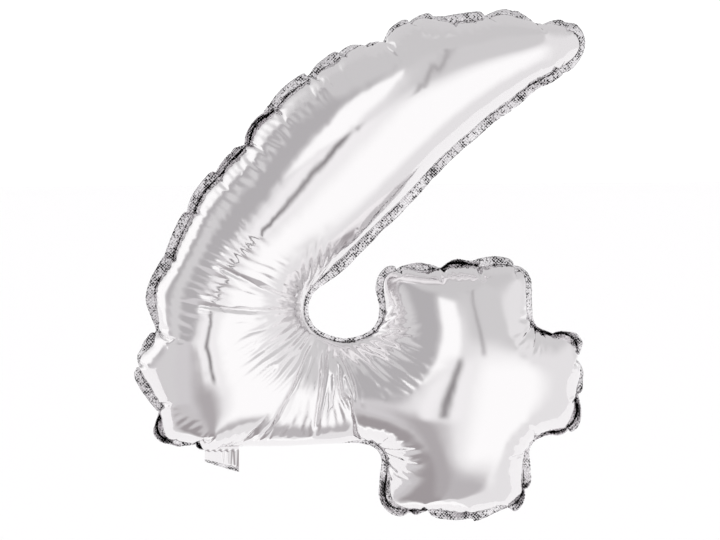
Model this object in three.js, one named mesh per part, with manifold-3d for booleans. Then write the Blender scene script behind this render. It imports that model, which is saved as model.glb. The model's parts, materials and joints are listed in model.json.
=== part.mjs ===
// A foil number balloon, figure 4, filled and held upright: two foil films welded round their rim,
// a flat weld flange, a filling neck that folds at the seam, and the self-sealing valve inside.
// Millimetres, +Z up, +X to the reader's right, the figure reads from -Y. The origin is the centre
// of the filled balloon's box. The films are far thicker than real foil, so that they are solids.
import * as THREE from "three";
import { mergeVertices } from "three/addons/utils/BufferGeometryUtils.js";
import Module from "manifold-3d";

const wasm = await Module();
wasm.setup();

// ---- The figure's seam line, measured from its left edge and from the foot ----
const FIGURE_HEIGHT = 349; // foot to the top of the slanting stroke
const FIGURE_WIDTH = 307; // left bulge to the end of the arm
const STEM_WIDTH = 103; // upright stem, seam to seam
const STEM_RISE = 48; // stem above the arm
const ARM_REACH = 37; // arm beyond the stem
const ARM_DEPTH = 72; // arm, seam to seam
const FOOT_DROP = 50; // foot below the crossbar
const ARM_LIFT = 6; // arm's underside above the crossbar's underside
const BAR_DEPTH = 75; // crossbar under the counter
const COUNTER_WIDTH = 56; // widest part of the gap in the 4
const HEEL_HEIGHT = 112; // top of the rounded lower left corner
const TIP_DEPTH = 31; // height of the slanting stroke's blunt tip
const CORNER_RADIUS = 12; // outer corners of stem and arm
const HEEL_REACH = 38; // how far that corner reaches along the crossbar
const INNER_RADIUS = 12; // inner corners, where stem and arm meet

// ---- Films ----
const PUFF = 0.8; // bulge of one film over half a stroke's width; 1 is a round tube
const FILM_WALL = 0.9; // wall of each film
const RIM_WIDTH = 1.4; // land round each film's edge, which meets the flange
const RIM_THICKNESS = 0.5; // thinnest the rim gets
const CLEARANCE = 0.3; // gap between pieces that are welded or lie together

// ---- Weld flange ----
const FLANGE_WIDTH = 6.5; // seam line to the flange's outer edge, at the middle of a lobe
const FLANGE_PINCH = 3; // the same, at the crease between two lobes
const FLANGE_THICKNESS = 1.6;
const FLANGE_LAP = 2.2; // how far the flange reaches in under the films' rims
const LOBE_PITCH = 28; // crease to crease along the seam

// ---- Filling neck ----
const NECK_WIDTH = 24;
const NECK_LENGTH = 22;
const NECK_CENTRE = 52; // from the figure's left edge
const NECK_LEAF = 0.6; // each of its two leaves
const NECK_DROP = 1.8; // fold line below the seam line
const NECK_REST_ANGLE = 45; // degrees that the neck is folded back behind the seam
const NECK_MOUTH_RADIUS = 3; // corners at its open end
const SLOT_MARGIN = 1; // neck's edge to the edge of its slot in the flange

// ---- Self-sealing valve ----
const VALVE_LENGTH = 66; // seam line to its inner end
const VALVE_INSET = 1; // neck's edge to the valve's edge, at the seam line
const VALVE_TAPER = 3.5; // how much each edge comes in towards the inner end
const VALVE_FILM = 0.5;
const VALVE_CHANNEL = 0.4; // gap between its two films

// ---- Mesh fineness ----
const SEAM_STEP = 6; // spacing of points along the seam
const GRID = 11; // cell of the films' height grid

// ---- Places worked out from the sizes above ----
const stemRight = FIGURE_WIDTH - ARM_REACH;
const stemLeft = stemRight - STEM_WIDTH;
const barBottom = FOOT_DROP;
const armBottom = barBottom + ARM_LIFT;
const armTop = armBottom + ARM_DEPTH;
const stemTop = armTop + STEM_RISE;
const counterFloor = barBottom + BAR_DEPTH;
const counterLeft = stemLeft - COUNTER_WIDTH;
const halfFlange = FLANGE_THICKNESS / 2;
const filmBase = halfFlange + CLEARANCE; // from the seam plane to a film's rim
const valveRoot = NECK_WIDTH / 2 - VALVE_INSET; // half the valve's width at the seam line
const valveTip = valveRoot - VALVE_TAPER; // and at its inner end

const finish = {
  film: new THREE.MeshStandardMaterial({ color: 0xd8d8da, roughness: 0.12, metalness: 1 }),
  weld: new THREE.MeshStandardMaterial({ color: 0xb4b4b8, roughness: 0.3, metalness: 1 }),
  valve: new THREE.MeshStandardMaterial({ color: 0xe6ebee, roughness: 0.35, metalness: 0 }),
};

// A closed geometry as a manifold-3d solid.
function solidOf(geometry) {
  const bare = geometry.clone();
  bare.deleteAttribute("normal");
  bare.deleteAttribute("uv");
  const merged = mergeVertices(bare, 1e-4);
  return new wasm.Manifold(
    new wasm.Mesh({
      numProp: 3,
      vertProperties: merged.attributes.position.array,
      triVerts: new Uint32Array(merged.index.array),
    }),
  );
}

// A manifold-3d solid as a three.js geometry.
function geometryOf(solid) {
  const mesh = solid.getMesh();
  const geometry = new THREE.BufferGeometry();
  geometry.setAttribute("position", new THREE.BufferAttribute(mesh.vertProperties, 3));
  geometry.setIndex(new THREE.BufferAttribute(mesh.triVerts, 1));
  geometry.computeVertexNormals();
  return geometry;
}

function namedMesh(name, solid, material) {
  const mesh = new THREE.Mesh(geometryOf(solid), material);
  mesh.name = name;
  return mesh;
}

// Draws a line towards corner and rounds it on the way to next.
function roundCorner(path, corner, next, radius) {
  const here = path.currentPoint.clone();
  const point = new THREE.Vector2(...corner);
  const before = here.sub(point);
  const after = new THREE.Vector2(...next).sub(point);
  const reach = Math.min(radius, before.length() * 0.49, after.length() * 0.49);
  const start = point.clone().addScaledVector(before.normalize(), reach);
  const end = point.clone().addScaledVector(after.normalize(), reach);
  path.lineTo(start.x, start.y);
  path.quadraticCurveTo(point.x, point.y, end.x, end.y);
}

// The seam line: the slanting stroke's curves, then stem, arm, foot and crossbar as rounded corners.
function seamShape() {
  const top = FIGURE_HEIGHT;
  const tipRight = FIGURE_WIDTH + 2;
  const tipLow = top - TIP_DEPTH;
  const shoulder = tipRight - 91;
  const path = new THREE.Shape();
  path.moveTo(0, HEEL_HEIGHT);
  path.bezierCurveTo(0, HEEL_HEIGHT + 84, shoulder - 118, top - 7, shoulder, top);
  path.bezierCurveTo(shoulder + 24, top + 1, tipRight - 42, top - 1, tipRight - 21, top - 5);
  path.bezierCurveTo(tipRight - 1, top - 8, tipRight, tipLow + 6, tipRight - 17, tipLow - 3);
  path.bezierCurveTo(
    tipRight - 82, tipLow - 30,
    counterLeft + 56, counterFloor + 81,
    counterLeft + 10, counterFloor + 40,
  );
  path.bezierCurveTo(
    counterLeft - 6, counterFloor + 26,
    counterLeft - 6, counterFloor,
    counterLeft + COUNTER_WIDTH / 2, counterFloor,
  );
  path.quadraticCurveTo(stemLeft, counterFloor, stemLeft, counterFloor + COUNTER_WIDTH / 2);
  const corners = [
    [stemLeft, stemTop, CORNER_RADIUS],
    [stemRight, stemTop, CORNER_RADIUS],
    [stemRight, armTop, INNER_RADIUS],
    [FIGURE_WIDTH, armTop, CORNER_RADIUS],
    [FIGURE_WIDTH, armBottom, CORNER_RADIUS],
    [stemRight, armBottom, INNER_RADIUS],
    [stemRight - 4, 0, CORNER_RADIUS],
    [stemLeft + 1, 0, CORNER_RADIUS],
    [stemLeft, barBottom, INNER_RADIUS],
  ];
  const ends = [...corners.slice(1), [HEEL_REACH, barBottom]];
  corners.forEach(([x, z, radius], i) => roundCorner(path, [x, z], ends[i].slice(0, 2), radius));
  path.lineTo(HEEL_REACH, barBottom);
  path.quadraticCurveTo(0, barBottom, 0, HEEL_HEIGHT);
  path.closePath();
  return path;
}

// Evenly spaced points round the seam line, with no repeat at the end.
function seamLoop() {
  const shape = seamShape();
  const count = Math.round(shape.getLength() / SEAM_STEP);
  return shape.getSpacedPoints(count).slice(0, count);
}

// The loop moved outwards by distance(i) at each point. The seam runs clockwise.
function offsetLoop(loop, distance) {
  const n = loop.length;
  return loop.map((point, i) => {
    const along = loop[(i + 1) % n].clone().sub(loop[(i + n - 1) % n]).normalize();
    return new THREE.Vector2(point.x - along.y * distance(i), point.y + along.x * distance(i));
  });
}

// A closed prism on a loop, from y = from to y = to.
function prism(loop, from, to) {
  const geometry = new THREE.ExtrudeGeometry(new THREE.Shape(loop), {
    depth: to - from,
    bevelEnabled: false,
  });
  geometry.rotateX(Math.PI / 2);
  geometry.translate(0, to, 0);
  return solidOf(geometry);
}

function isInside(loop, x, z) {
  let inside = false;
  loop.forEach((a, i) => {
    const b = loop[(i + 1) % loop.length];
    const crosses = a.y > z !== b.y > z && x < ((b.x - a.x) * (z - a.y)) / (b.y - a.y) + a.x;
    inside = crosses ? !inside : inside;
  });
  return inside;
}

// How far a membrane on the seam line bulges under pressure: the Poisson equation on a grid, solved by
// over-relaxation. Over a long strip of half width a, the square root of twice this is a circle of radius a.
function membrane(loop) {
  const fine = GRID / 2;
  const margin = 2 * GRID;
  const columns = 2 * Math.ceil((FIGURE_WIDTH + 2 * margin) / GRID);
  const rows = 2 * Math.ceil((FIGURE_HEIGHT + 2 * margin) / GRID);
  const stride = columns + 1;
  const bulge = new Float64Array(stride * (rows + 1));
  const open = [];
  for (let row = 1; row < rows; row++) {
    for (let column = 1; column < columns; column++) {
      if (isInside(loop, column * fine - margin, row * fine - margin)) open.push(row * stride + column);
    }
  }
  const relaxation = 1.9;
  const rounds = 400;
  for (let round = 0; round < rounds; round++) {
    for (const at of open) {
      const around = bulge[at - 1] + bulge[at + 1] + bulge[at - stride] + bulge[at + stride];
      bulge[at] += relaxation * ((around + fine * fine) / 4 - bulge[at]);
    }
  }
  return { bulge, stride, columns, rows, fine, margin };
}

// A slab over the whole grid whose front is at y = -(base + height), and whose back is at y = back.
function slab(field, height, base, back) {
  const { bulge, stride, columns, rows, fine, margin } = field;
  const width = columns * fine;
  const tall = rows * fine;
  const geometry = new THREE.BoxGeometry(width, 1, tall, columns / 2, 1, rows / 2);
  const position = geometry.attributes.position;
  for (let i = 0; i < position.count; i++) {
    const x = position.getX(i) + width / 2;
    const z = position.getZ(i) + tall / 2;
    const at = Math.round(z / fine) * stride + Math.round(x / fine);
    const y = position.getY(i) < 0 ? -(base + height(bulge[at])) : back;
    position.setXYZ(i, x - margin, y, z - margin);
  }
  return solidOf(geometry);
}

// The front film: a dish whose rim faces the seam plane, open at the back.
function frontFilm(loop, field) {
  const shallow = FILM_WALL * (STEM_WIDTH / 2);
  const outside = (bulge) => RIM_THICKNESS + PUFF * Math.sqrt(2 * bulge);
  const inside = (bulge) => (bulge > shallow ? PUFF * Math.sqrt(2 * (bulge - shallow)) : -1);
  const deepest = FIGURE_HEIGHT;
  const body = slab(field, outside, filmBase, 1).intersect(prism(loop, -deepest, -filmBase));
  const rimLoop = offsetLoop(loop, () => -RIM_WIDTH);
  const hollow = slab(field, inside, filmBase, 1).intersect(prism(rimLoop, -deepest, 0));
  return body.subtract(hollow);
}

// The weld flange: a flat band round the figure, with a lobe between each two creases, open at the neck.
function weldFlange(loop) {
  const lobes = Math.round((loop.length * SEAM_STEP) / LOBE_PITCH);
  const width = (i) => {
    const swell = Math.sqrt(Math.abs(Math.sin((Math.PI * lobes * i) / loop.length)));
    return FLANGE_PINCH + (FLANGE_WIDTH - FLANGE_PINCH) * swell;
  };
  const outer = prism(offsetLoop(loop, width), -halfFlange, halfFlange);
  const inner = prism(offsetLoop(loop, () => -FLANGE_LAP), -FLANGE_THICKNESS, FLANGE_THICKNESS);
  const slot = new THREE.BoxGeometry(NECK_WIDTH + 2 * SLOT_MARGIN, 2 * FLANGE_THICKNESS, 4 * FLANGE_WIDTH);
  slot.translate(NECK_CENTRE, 0, barBottom);
  return outer.subtract(inner).subtract(solidOf(slot));
}

// One leaf of the neck, hanging from the fold line at z = 0, with round corners at its mouth.
function neckLeaf(near) {
  const half = NECK_WIDTH / 2;
  const path = new THREE.Shape();
  path.moveTo(half, 0);
  roundCorner(path, [half, -NECK_LENGTH], [-half, -NECK_LENGTH], NECK_MOUTH_RADIUS);
  roundCorner(path, [-half, -NECK_LENGTH], [-half, 0], NECK_MOUTH_RADIUS);
  path.lineTo(-half, 0);
  path.closePath();
  const segments = 6;
  return prism(path.getPoints(segments).slice(0, -1), near, near + NECK_LEAF);
}

// One film of the valve: a tapered strip from the seam line up into the balloon, with a round inner end.
function valveFilm(near) {
  const root = barBottom + CLEARANCE;
  const end = barBottom + VALVE_LENGTH;
  const path = new THREE.Shape();
  const left = NECK_CENTRE - valveTip;
  const right = NECK_CENTRE + valveTip;
  const radius = (2 / 3) * valveTip;
  path.moveTo(NECK_CENTRE - valveRoot, root);
  roundCorner(path, [left, end], [right, end], radius);
  roundCorner(path, [right, end], [NECK_CENTRE + valveRoot, root], radius);
  path.lineTo(NECK_CENTRE + valveRoot, root);
  path.closePath();
  const segments = 6;
  return prism(path.getPoints(segments).slice(0, -1), near, near + VALVE_FILM);
}

function envelope() {
  const loop = seamLoop();
  const film = frontFilm(loop, membrane(loop));
  const front = namedMesh("front_film", film, finish.film);
  const back = namedMesh("back_film", film, finish.film);
  back.scale.y = -1; // the back film is the front film's mirror image
  return [front, back, namedMesh("weld_flange", weldFlange(loop), finish.weld)];
}

function valve() {
  const near = VALVE_CHANNEL / 2;
  return [
    namedMesh("valve_front_film", valveFilm(-near - VALVE_FILM), finish.valve),
    namedMesh("valve_back_film", valveFilm(near), finish.valve),
  ];
}

function fillingNeck() {
  const near = CLEARANCE / 2;
  const neck = new THREE.Group();
  neck.add(namedMesh("neck_front_leaf", neckLeaf(-near - NECK_LEAF), finish.film));
  neck.add(namedMesh("neck_back_leaf", neckLeaf(near), finish.film));
  neck.position.set(NECK_CENTRE, 0, barBottom - NECK_DROP);
  neck.rotation.x = THREE.MathUtils.degToRad(NECK_REST_ANGLE);
  return neck;
}

function balloon() {
  const figure = new THREE.Group();
  figure.add(...envelope(), ...valve(), fillingNeck());
  figure.updateMatrixWorld(true);
  const centre = new THREE.Box3().setFromObject(figure, true).getCenter(new THREE.Vector3());
  figure.position.set(-centre.x, 0, -centre.z);
  const part = new THREE.Group();
  part.add(figure);
  return part;
}

export default balloon();
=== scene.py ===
"""A silver foil number balloon, the figure 4, filled and held upright.

The balloon is two flat films welded round their rim. They are cut flat here, welded and filled in a
membrane simulation, so the lobes of the weld flange, the pinches between them and the creases that
fan out of the inner corners all come from the film itself. Pleats too fine for that mesh are pressed
in afterwards, where the film is still shorter than its flat pattern. The filled seam is fitted to the
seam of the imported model, and the filling neck bends at that model's fold.
"""

import json
import logging
import math
from dataclasses import dataclass
from enum import IntEnum

import bmesh
import bpy
import numpy as np
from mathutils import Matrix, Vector, geometry


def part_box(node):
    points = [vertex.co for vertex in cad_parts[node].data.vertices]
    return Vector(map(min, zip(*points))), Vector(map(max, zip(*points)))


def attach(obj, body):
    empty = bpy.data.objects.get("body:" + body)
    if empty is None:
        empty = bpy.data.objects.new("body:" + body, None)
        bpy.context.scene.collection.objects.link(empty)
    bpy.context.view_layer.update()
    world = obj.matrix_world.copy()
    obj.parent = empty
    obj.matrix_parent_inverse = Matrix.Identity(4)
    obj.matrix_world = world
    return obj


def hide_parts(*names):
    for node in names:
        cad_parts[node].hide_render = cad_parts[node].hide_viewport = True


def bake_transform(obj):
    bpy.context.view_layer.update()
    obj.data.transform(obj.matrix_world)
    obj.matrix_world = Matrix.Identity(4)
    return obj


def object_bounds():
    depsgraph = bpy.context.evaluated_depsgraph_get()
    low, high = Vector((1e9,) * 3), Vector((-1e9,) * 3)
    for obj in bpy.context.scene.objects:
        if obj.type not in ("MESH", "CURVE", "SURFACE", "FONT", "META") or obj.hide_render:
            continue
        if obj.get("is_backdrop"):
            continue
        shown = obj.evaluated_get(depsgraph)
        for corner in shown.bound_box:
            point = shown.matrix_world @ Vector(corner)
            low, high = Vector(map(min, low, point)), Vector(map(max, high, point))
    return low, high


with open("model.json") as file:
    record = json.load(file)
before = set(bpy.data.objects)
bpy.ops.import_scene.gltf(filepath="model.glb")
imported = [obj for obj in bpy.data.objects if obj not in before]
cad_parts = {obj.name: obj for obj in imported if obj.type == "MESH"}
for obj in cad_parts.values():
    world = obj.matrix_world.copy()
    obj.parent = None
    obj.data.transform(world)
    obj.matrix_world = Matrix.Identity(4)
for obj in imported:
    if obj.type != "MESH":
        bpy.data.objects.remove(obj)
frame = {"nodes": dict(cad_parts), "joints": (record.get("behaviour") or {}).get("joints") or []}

LOG = logging.getLogger("foil_balloon")
MM = 0.001
AHEAD = 0.75  # least cosine between a loop's outward normal and what counts as ahead of it
FAR = 1e3  # stands for no limit, in mm
TINY = 1e-9  # keeps a vector of no length from being divided by 0
SNAP = 0.01 * MM  # vertices this near are one vertex, or lie in one plane


# ---------------------------------------------------------------- small helpers


def linear(code: str) -> tuple[float, float, float, float]:
    """Turns an sRGB hex colour into linear light.

    Args:
        code: The colour as "#RRGGBB".

    Returns:
        Red, green, blue and alpha, with alpha 1.
    """
    parts = [int(code[i : i + 2], 16) / 255 for i in (1, 3, 5)]
    light = [c / 12.92 if c <= 0.04045 else ((c + 0.055) / 1.055) ** 2.4 for c in parts]
    return (*light, 1.0)


def add_node(tree: bpy.types.NodeTree, kind: str, **settings: object) -> bpy.types.Node:
    """Adds one node with its settings and links.

    Args:
        tree: The node tree that it goes in.
        kind: The node's Blender type.
        **settings: Node properties by name, or in_NAME for an input, which takes a value or the
            output socket that feeds it. Blanks in an input's name are written as underscores.

    Returns:
        The new node.
    """
    node = tree.nodes.new(kind)
    for key, value in settings.items():
        if not key.startswith("in_"):
            setattr(node, key, value)
            continue
        name = key[3:].replace("_", " ")
        socket = node.inputs[int(name)] if name.isdigit() else node.inputs[name]
        if isinstance(value, bpy.types.NodeSocket):
            tree.links.new(value, socket)
        else:
            socket.default_value = value
    return node


def new_finish(name: str) -> tuple[bpy.types.Material, bpy.types.NodeTree, bpy.types.Node]:
    """Makes a material with nodes.

    Args:
        name: The material's name.

    Returns:
        The material, its node tree and its shader.
    """
    made = bpy.data.materials.new(name)
    made.use_nodes = True
    return made, made.node_tree, made.node_tree.nodes["Principled BSDF"]


def new_piece(name: str, mesh: bpy.types.Mesh, body: str | None = None) -> bpy.types.Object:
    """Makes a mesh into a piece at the origin.

    Args:
        name: The piece's name.
        mesh: Its mesh, in place.
        body: The body that it rides on, if it rides on one.

    Returns:
        The piece.
    """
    piece = bpy.data.objects.new(name, mesh)
    bpy.context.scene.collection.objects.link(piece)
    if body:
        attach(piece, body)
    return piece


# ---------------------------------------------------------------- finishes


@dataclass(frozen=True)
class MetallisedFilm:
    """Polyester film with vacuum-deposited aluminium: a mirror that is slightly soft.

    Attributes:
        name: The material's name.
        tint: sRGB colour of the metal.
        roughness: Roughness of the smoothest film.
        haze: How much rougher the film gets in its dull patches.
        haze_mm: Size of the dull patches.
        clean_below: Noise value up to which the film is at its smoothest.
        dull_above: Noise value from which it is at its dullest.
        crinkle_mm: Size of the fine crinkles that handling leaves.
        crinkle_depth_mm: Depth of those crinkles.
    """

    name: str = "metallised_polyester_film"
    tint: str = "#F0EEEF"
    roughness: float = 0.07
    haze: float = 0.05
    haze_mm: float = 30.0
    clean_below: float = 0.35
    dull_above: float = 0.75
    crinkle_mm: float = 9.0
    crinkle_depth_mm: float = 0.02

    def material(self) -> bpy.types.Material:
        """Builds the film: dull patches in the roughness, and crinkles as a shallow bump.

        Returns:
            The material.
        """
        made, tree, shader = new_finish(self.name)
        shader.inputs["Base Color"].default_value = linear(self.tint)
        shader.inputs["Metallic"].default_value = 1.0
        place = add_node(tree, "ShaderNodeTexCoord").outputs["Object"]
        patches = add_node(
            tree, "ShaderNodeTexNoise", in_Vector=place, in_Scale=1 / (self.haze_mm * MM), in_Detail=3.0
        ).outputs["Fac"]
        rough = add_node(
            tree, "ShaderNodeMapRange", in_Value=patches,
            in_From_Min=self.clean_below, in_From_Max=self.dull_above,
            in_To_Min=self.roughness, in_To_Max=self.roughness + self.haze,
        ).outputs["Result"]
        tree.links.new(rough, shader.inputs["Roughness"])
        crinkles = add_node(
            tree, "ShaderNodeTexNoise", in_Vector=place, in_Scale=1 / (self.crinkle_mm * MM), in_Detail=2.0
        ).outputs["Fac"]
        bump = add_node(
            tree, "ShaderNodeBump", in_Height=crinkles,
            in_Distance=self.crinkle_depth_mm * MM, in_Strength=1.0,
        ).outputs["Normal"]
        tree.links.new(bump, shader.inputs["Normal"])
        return made


@dataclass(frozen=True)
class WeldedFoil:
    """Two foils fused by a knurled heated bar: small dots, bright on top, and pits painted black as their
    shade.

    Attributes:
        name: The material's name.
        tint: sRGB colour of the metal.
        painted_pit_shade: sRGB colour painted deep in the pits as their shade, where the foil only mirrors
            itself.
        roughness: Roughness on top of a dot.
        knurl_mm: Pitch of the knurl. The real pitch is about half of this, too fine to show.
        knurl_depth_mm: Depth of the knurl.
        patch_mm: Size of the patches in which the bar pressed harder, where more of the pits are painted
            dark.
        pressed: Noise values over which the painted shade spreads over more of the pits.
        pits: Share of the pattern that the painted shade of the pits takes, where it is least and where it
            is most.
        brink: Pattern values over which the painted shade fades into a bright dot.
        worn: Noise values over which the dots get rougher.
        wear: How much rougher they get.
    """

    name: str = "knurled_heat_sealed_foil"
    tint: str = "#EFEDEF"
    painted_pit_shade: str = "#262325"
    roughness: float = 0.14
    knurl_mm: float = 1.6
    knurl_depth_mm: float = 0.25
    patch_mm: float = 8.0
    pressed: tuple[float, float] = (0.35, 0.65)
    pits: tuple[float, float] = (0.35, 0.62)
    brink: tuple[float, float] = (-0.03, 0.05)
    worn: tuple[float, float] = (0.3, 0.7)
    wear: float = 0.2

    def material(self) -> bpy.types.Material:
        """Builds the weld: crossed waves for the knurl as a bump of even depth, and painted shade in the
        pits, which covers more of them where the bar pressed harder.

        Returns:
            The material.
        """
        made, tree, shader = new_finish(self.name)
        shader.inputs["Metallic"].default_value = 1.0
        place = add_node(tree, "ShaderNodeTexCoord").outputs["Object"]
        waves = []
        for turn in (45, -45):
            turned = add_node(
                tree, "ShaderNodeMapping", in_Vector=place, in_Rotation=(0, math.radians(turn), 0)
            ).outputs["Vector"]
            # A wave texture of scale 1 repeats every tau / 20.
            waves.append(add_node(
                tree, "ShaderNodeTexWave", in_Vector=turned, bands_direction="X",
                in_Scale=math.tau / 20 / (self.knurl_mm * MM), in_Distortion=1.5,
                in_Detail=1.0, in_Detail_Scale=1.5,
            ).outputs["Fac"])
        knurl = add_node(
            tree, "ShaderNodeMath", operation="MULTIPLY", in_0=waves[0], in_1=waves[1]
        ).outputs[0]
        pressed = add_node(
            tree, "ShaderNodeTexNoise", in_Vector=place, in_Scale=1 / (self.patch_mm * MM), in_Detail=4.0
        ).outputs["Fac"]
        # Painted shade: the patch noise sets how much of the knurl is painted as dark pits. The bump keeps
        # one depth.
        depth = add_node(
            tree, "ShaderNodeMapRange", in_Value=pressed,
            in_From_Min=self.pressed[0], in_From_Max=self.pressed[1],
            in_To_Min=self.pits[0], in_To_Max=self.pits[1],
        ).outputs["Result"]
        grit = add_node(
            tree, "ShaderNodeTexNoise", in_Vector=place, in_Scale=1 / (self.knurl_mm * MM), in_Detail=2.0
        ).outputs["Fac"]
        dots = add_node(
            tree, "ShaderNodeMath", operation="MULTIPLY_ADD", in_0=knurl, in_1=0.5, in_2=grit
        ).outputs[0]
        clear = add_node(tree, "ShaderNodeMath", operation="SUBTRACT", in_0=dots, in_1=depth).outputs[0]
        clear = add_node(
            tree, "ShaderNodeMapRange", in_Value=clear,
            in_From_Min=self.brink[0], in_From_Max=self.brink[1],
        ).outputs["Result"]
        # Painted shade in the base colour: near black in the pits, the metal's tint on the dots.
        colour = add_node(
            tree, "ShaderNodeMix", data_type="RGBA",
            in_Factor=clear, in_6=linear(self.painted_pit_shade), in_7=linear(self.tint),
        ).outputs[2]
        tree.links.new(colour, shader.inputs["Base Color"])
        rough = add_node(
            tree, "ShaderNodeMapRange", in_Value=pressed,
            in_From_Min=self.worn[0], in_From_Max=self.worn[1],
            in_To_Min=self.roughness, in_To_Max=self.roughness + self.wear,
        ).outputs["Result"]
        tree.links.new(rough, shader.inputs["Roughness"])
        bump = add_node(
            tree, "ShaderNodeBump", in_Height=knurl, in_Distance=self.knurl_depth_mm * MM, in_Strength=1.0
        ).outputs["Normal"]
        tree.links.new(bump, shader.inputs["Normal"])
        return made


@dataclass(frozen=True)
class ValveFilm:
    """Clear-white polyethylene, blown film: waxy, a little cloudy, with fine draw lines.

    Attributes:
        name: The material's name.
        clear: sRGB colour where the film is thin.
        cloudy: sRGB colour where it is thick.
        roughness: Roughness of the film.
        draw_mm: Spacing of the draw lines.
        draw_depth_mm: Their depth.
        draw_length: How many times as long as its spacing a line is.
    """

    name: str = "blown_polyethylene_film"
    clear: str = "#E9EEF1"
    cloudy: str = "#CFD8DD"
    roughness: float = 0.35
    draw_mm: float = 1.2
    draw_depth_mm: float = 0.05
    draw_length: float = 20.0

    def material(self) -> bpy.types.Material:
        """Builds the film: draw lines along the valve in its colour and bump.

        Returns:
            The material.
        """
        made, tree, shader = new_finish(self.name)
        shader.inputs["Roughness"].default_value = self.roughness
        shader.inputs["IOR"].default_value = 1.51
        place = add_node(tree, "ShaderNodeTexCoord").outputs["Object"]
        stretched = add_node(
            tree, "ShaderNodeMapping", in_Vector=place, in_Scale=(1.0, 1.0, 1 / self.draw_length)
        ).outputs["Vector"]
        lines = add_node(
            tree, "ShaderNodeTexNoise", in_Vector=stretched, in_Scale=1 / (self.draw_mm * MM), in_Detail=2.0
        ).outputs["Fac"]
        colour = add_node(
            tree, "ShaderNodeMix", data_type="RGBA",
            in_Factor=lines, in_6=linear(self.clear), in_7=linear(self.cloudy),
        ).outputs[2]
        tree.links.new(colour, shader.inputs["Base Color"])
        bump = add_node(
            tree, "ShaderNodeBump", in_Height=lines, in_Distance=self.draw_depth_mm * MM, in_Strength=0.5
        ).outputs["Normal"]
        tree.links.new(bump, shader.inputs["Normal"])
        return made


# ---------------------------------------------------------------- loops in the plane of the seam


def respace(loop: np.ndarray, step: float) -> np.ndarray:
    """Spaces the points of a closed loop evenly.

    Args:
        loop: The loop, one point a row.
        step: About how far apart the points end up.

    Returns:
        The new loop.
    """
    closed = np.vstack([loop, loop[:1]])
    along = np.r_[0, np.cumsum(np.linalg.norm(np.diff(closed, axis=0), axis=1))]
    at = np.linspace(0, along[-1], int(round(along[-1] / step)), endpoint=False)
    return np.stack([np.interp(at, along, closed[:, k]) for k in range(2)], 1)


def soften(values: np.ndarray, rounds: int) -> np.ndarray:
    """Smooths values along a closed loop.

    Args:
        values: One row for each point of the loop.
        rounds: How many times each row is mixed with its two neighbours.

    Returns:
        The smooth values.
    """
    for _ in range(rounds):
        values = 0.5 * values + 0.25 * (np.roll(values, 1, 0) + np.roll(values, -1, 0))
    return values


def outward(loop: np.ndarray) -> np.ndarray:
    """Works out which way is out of a loop.

    Args:
        loop: A clockwise loop.

    Returns:
        A unit vector for each of its points.
    """
    along = np.roll(loop, -1, 0) - np.roll(loop, 1, 0)
    along /= np.linalg.norm(along, axis=1)[:, None]
    return np.stack([-along[:, 1], along[:, 0]], 1)


def within(loop: np.ndarray, points: np.ndarray) -> np.ndarray:
    """Tells which points lie inside a loop.

    Args:
        loop: The loop.
        points: The points, one a row.

    Returns:
        True for each point inside.
    """
    x, z = points.T
    inside = np.zeros(len(points), bool)
    for (x0, z0), (x1, z1) in zip(loop, np.roll(loop, -1, 0)):
        if z0 != z1:
            inside ^= ((z0 > z) != (z1 > z)) & (x < (x1 - x0) * (z - z0) / (z1 - z0) + x0)
    return inside


def nearest(loop: np.ndarray, points: np.ndarray) -> np.ndarray:
    """Finds the place on a loop that is nearest to each point.

    Args:
        loop: The loop.
        points: The points, one a row.

    Returns:
        The nearest places, one a row.
    """
    best = np.full(len(points), np.inf)
    found = points.copy()
    for start, run in zip(loop, np.roll(loop, -1, 0) - loop):
        share = np.clip(((points - start) @ run) / (run @ run), 0, 1)
        candidate = start + share[:, None] * run
        distance = np.linalg.norm(points - candidate, axis=1)
        closer = distance < best
        best[closer] = distance[closer]
        found[closer] = candidate[closer]
    return found


def gap_ahead(loop: np.ndarray, beyond: float = 45.0) -> np.ndarray:
    """Measures how far ahead, outside the loop, each of its points meets another part of it.

    Args:
        loop: A clockwise loop.
        beyond: Points nearer than this along the loop don't count.

    Returns:
        One distance for each point, very large where nothing is ahead.
    """
    legs = np.linalg.norm(np.roll(loop, -1, 0) - loop, axis=1)
    along = np.r_[0, np.cumsum(legs)[:-1]]
    apart = np.abs(along[None] - along[:, None])
    apart = np.minimum(apart, legs.sum() - apart)
    towards = loop[None] - loop[:, None]
    distance = np.linalg.norm(towards, axis=2) + TINY
    ahead = np.einsum("ijk,ik->ij", towards, outward(loop)) > AHEAD * distance
    return np.where((apart > beyond) & ahead, distance, FAR).min(1)


# ---------------------------------------------------------------- the film and its simulation


class Sheet(IntEnum):
    """Which sheet of the balloon a triangle belongs to."""

    FRONT = 0
    BACK = 1
    FLANGE = 2


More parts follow.
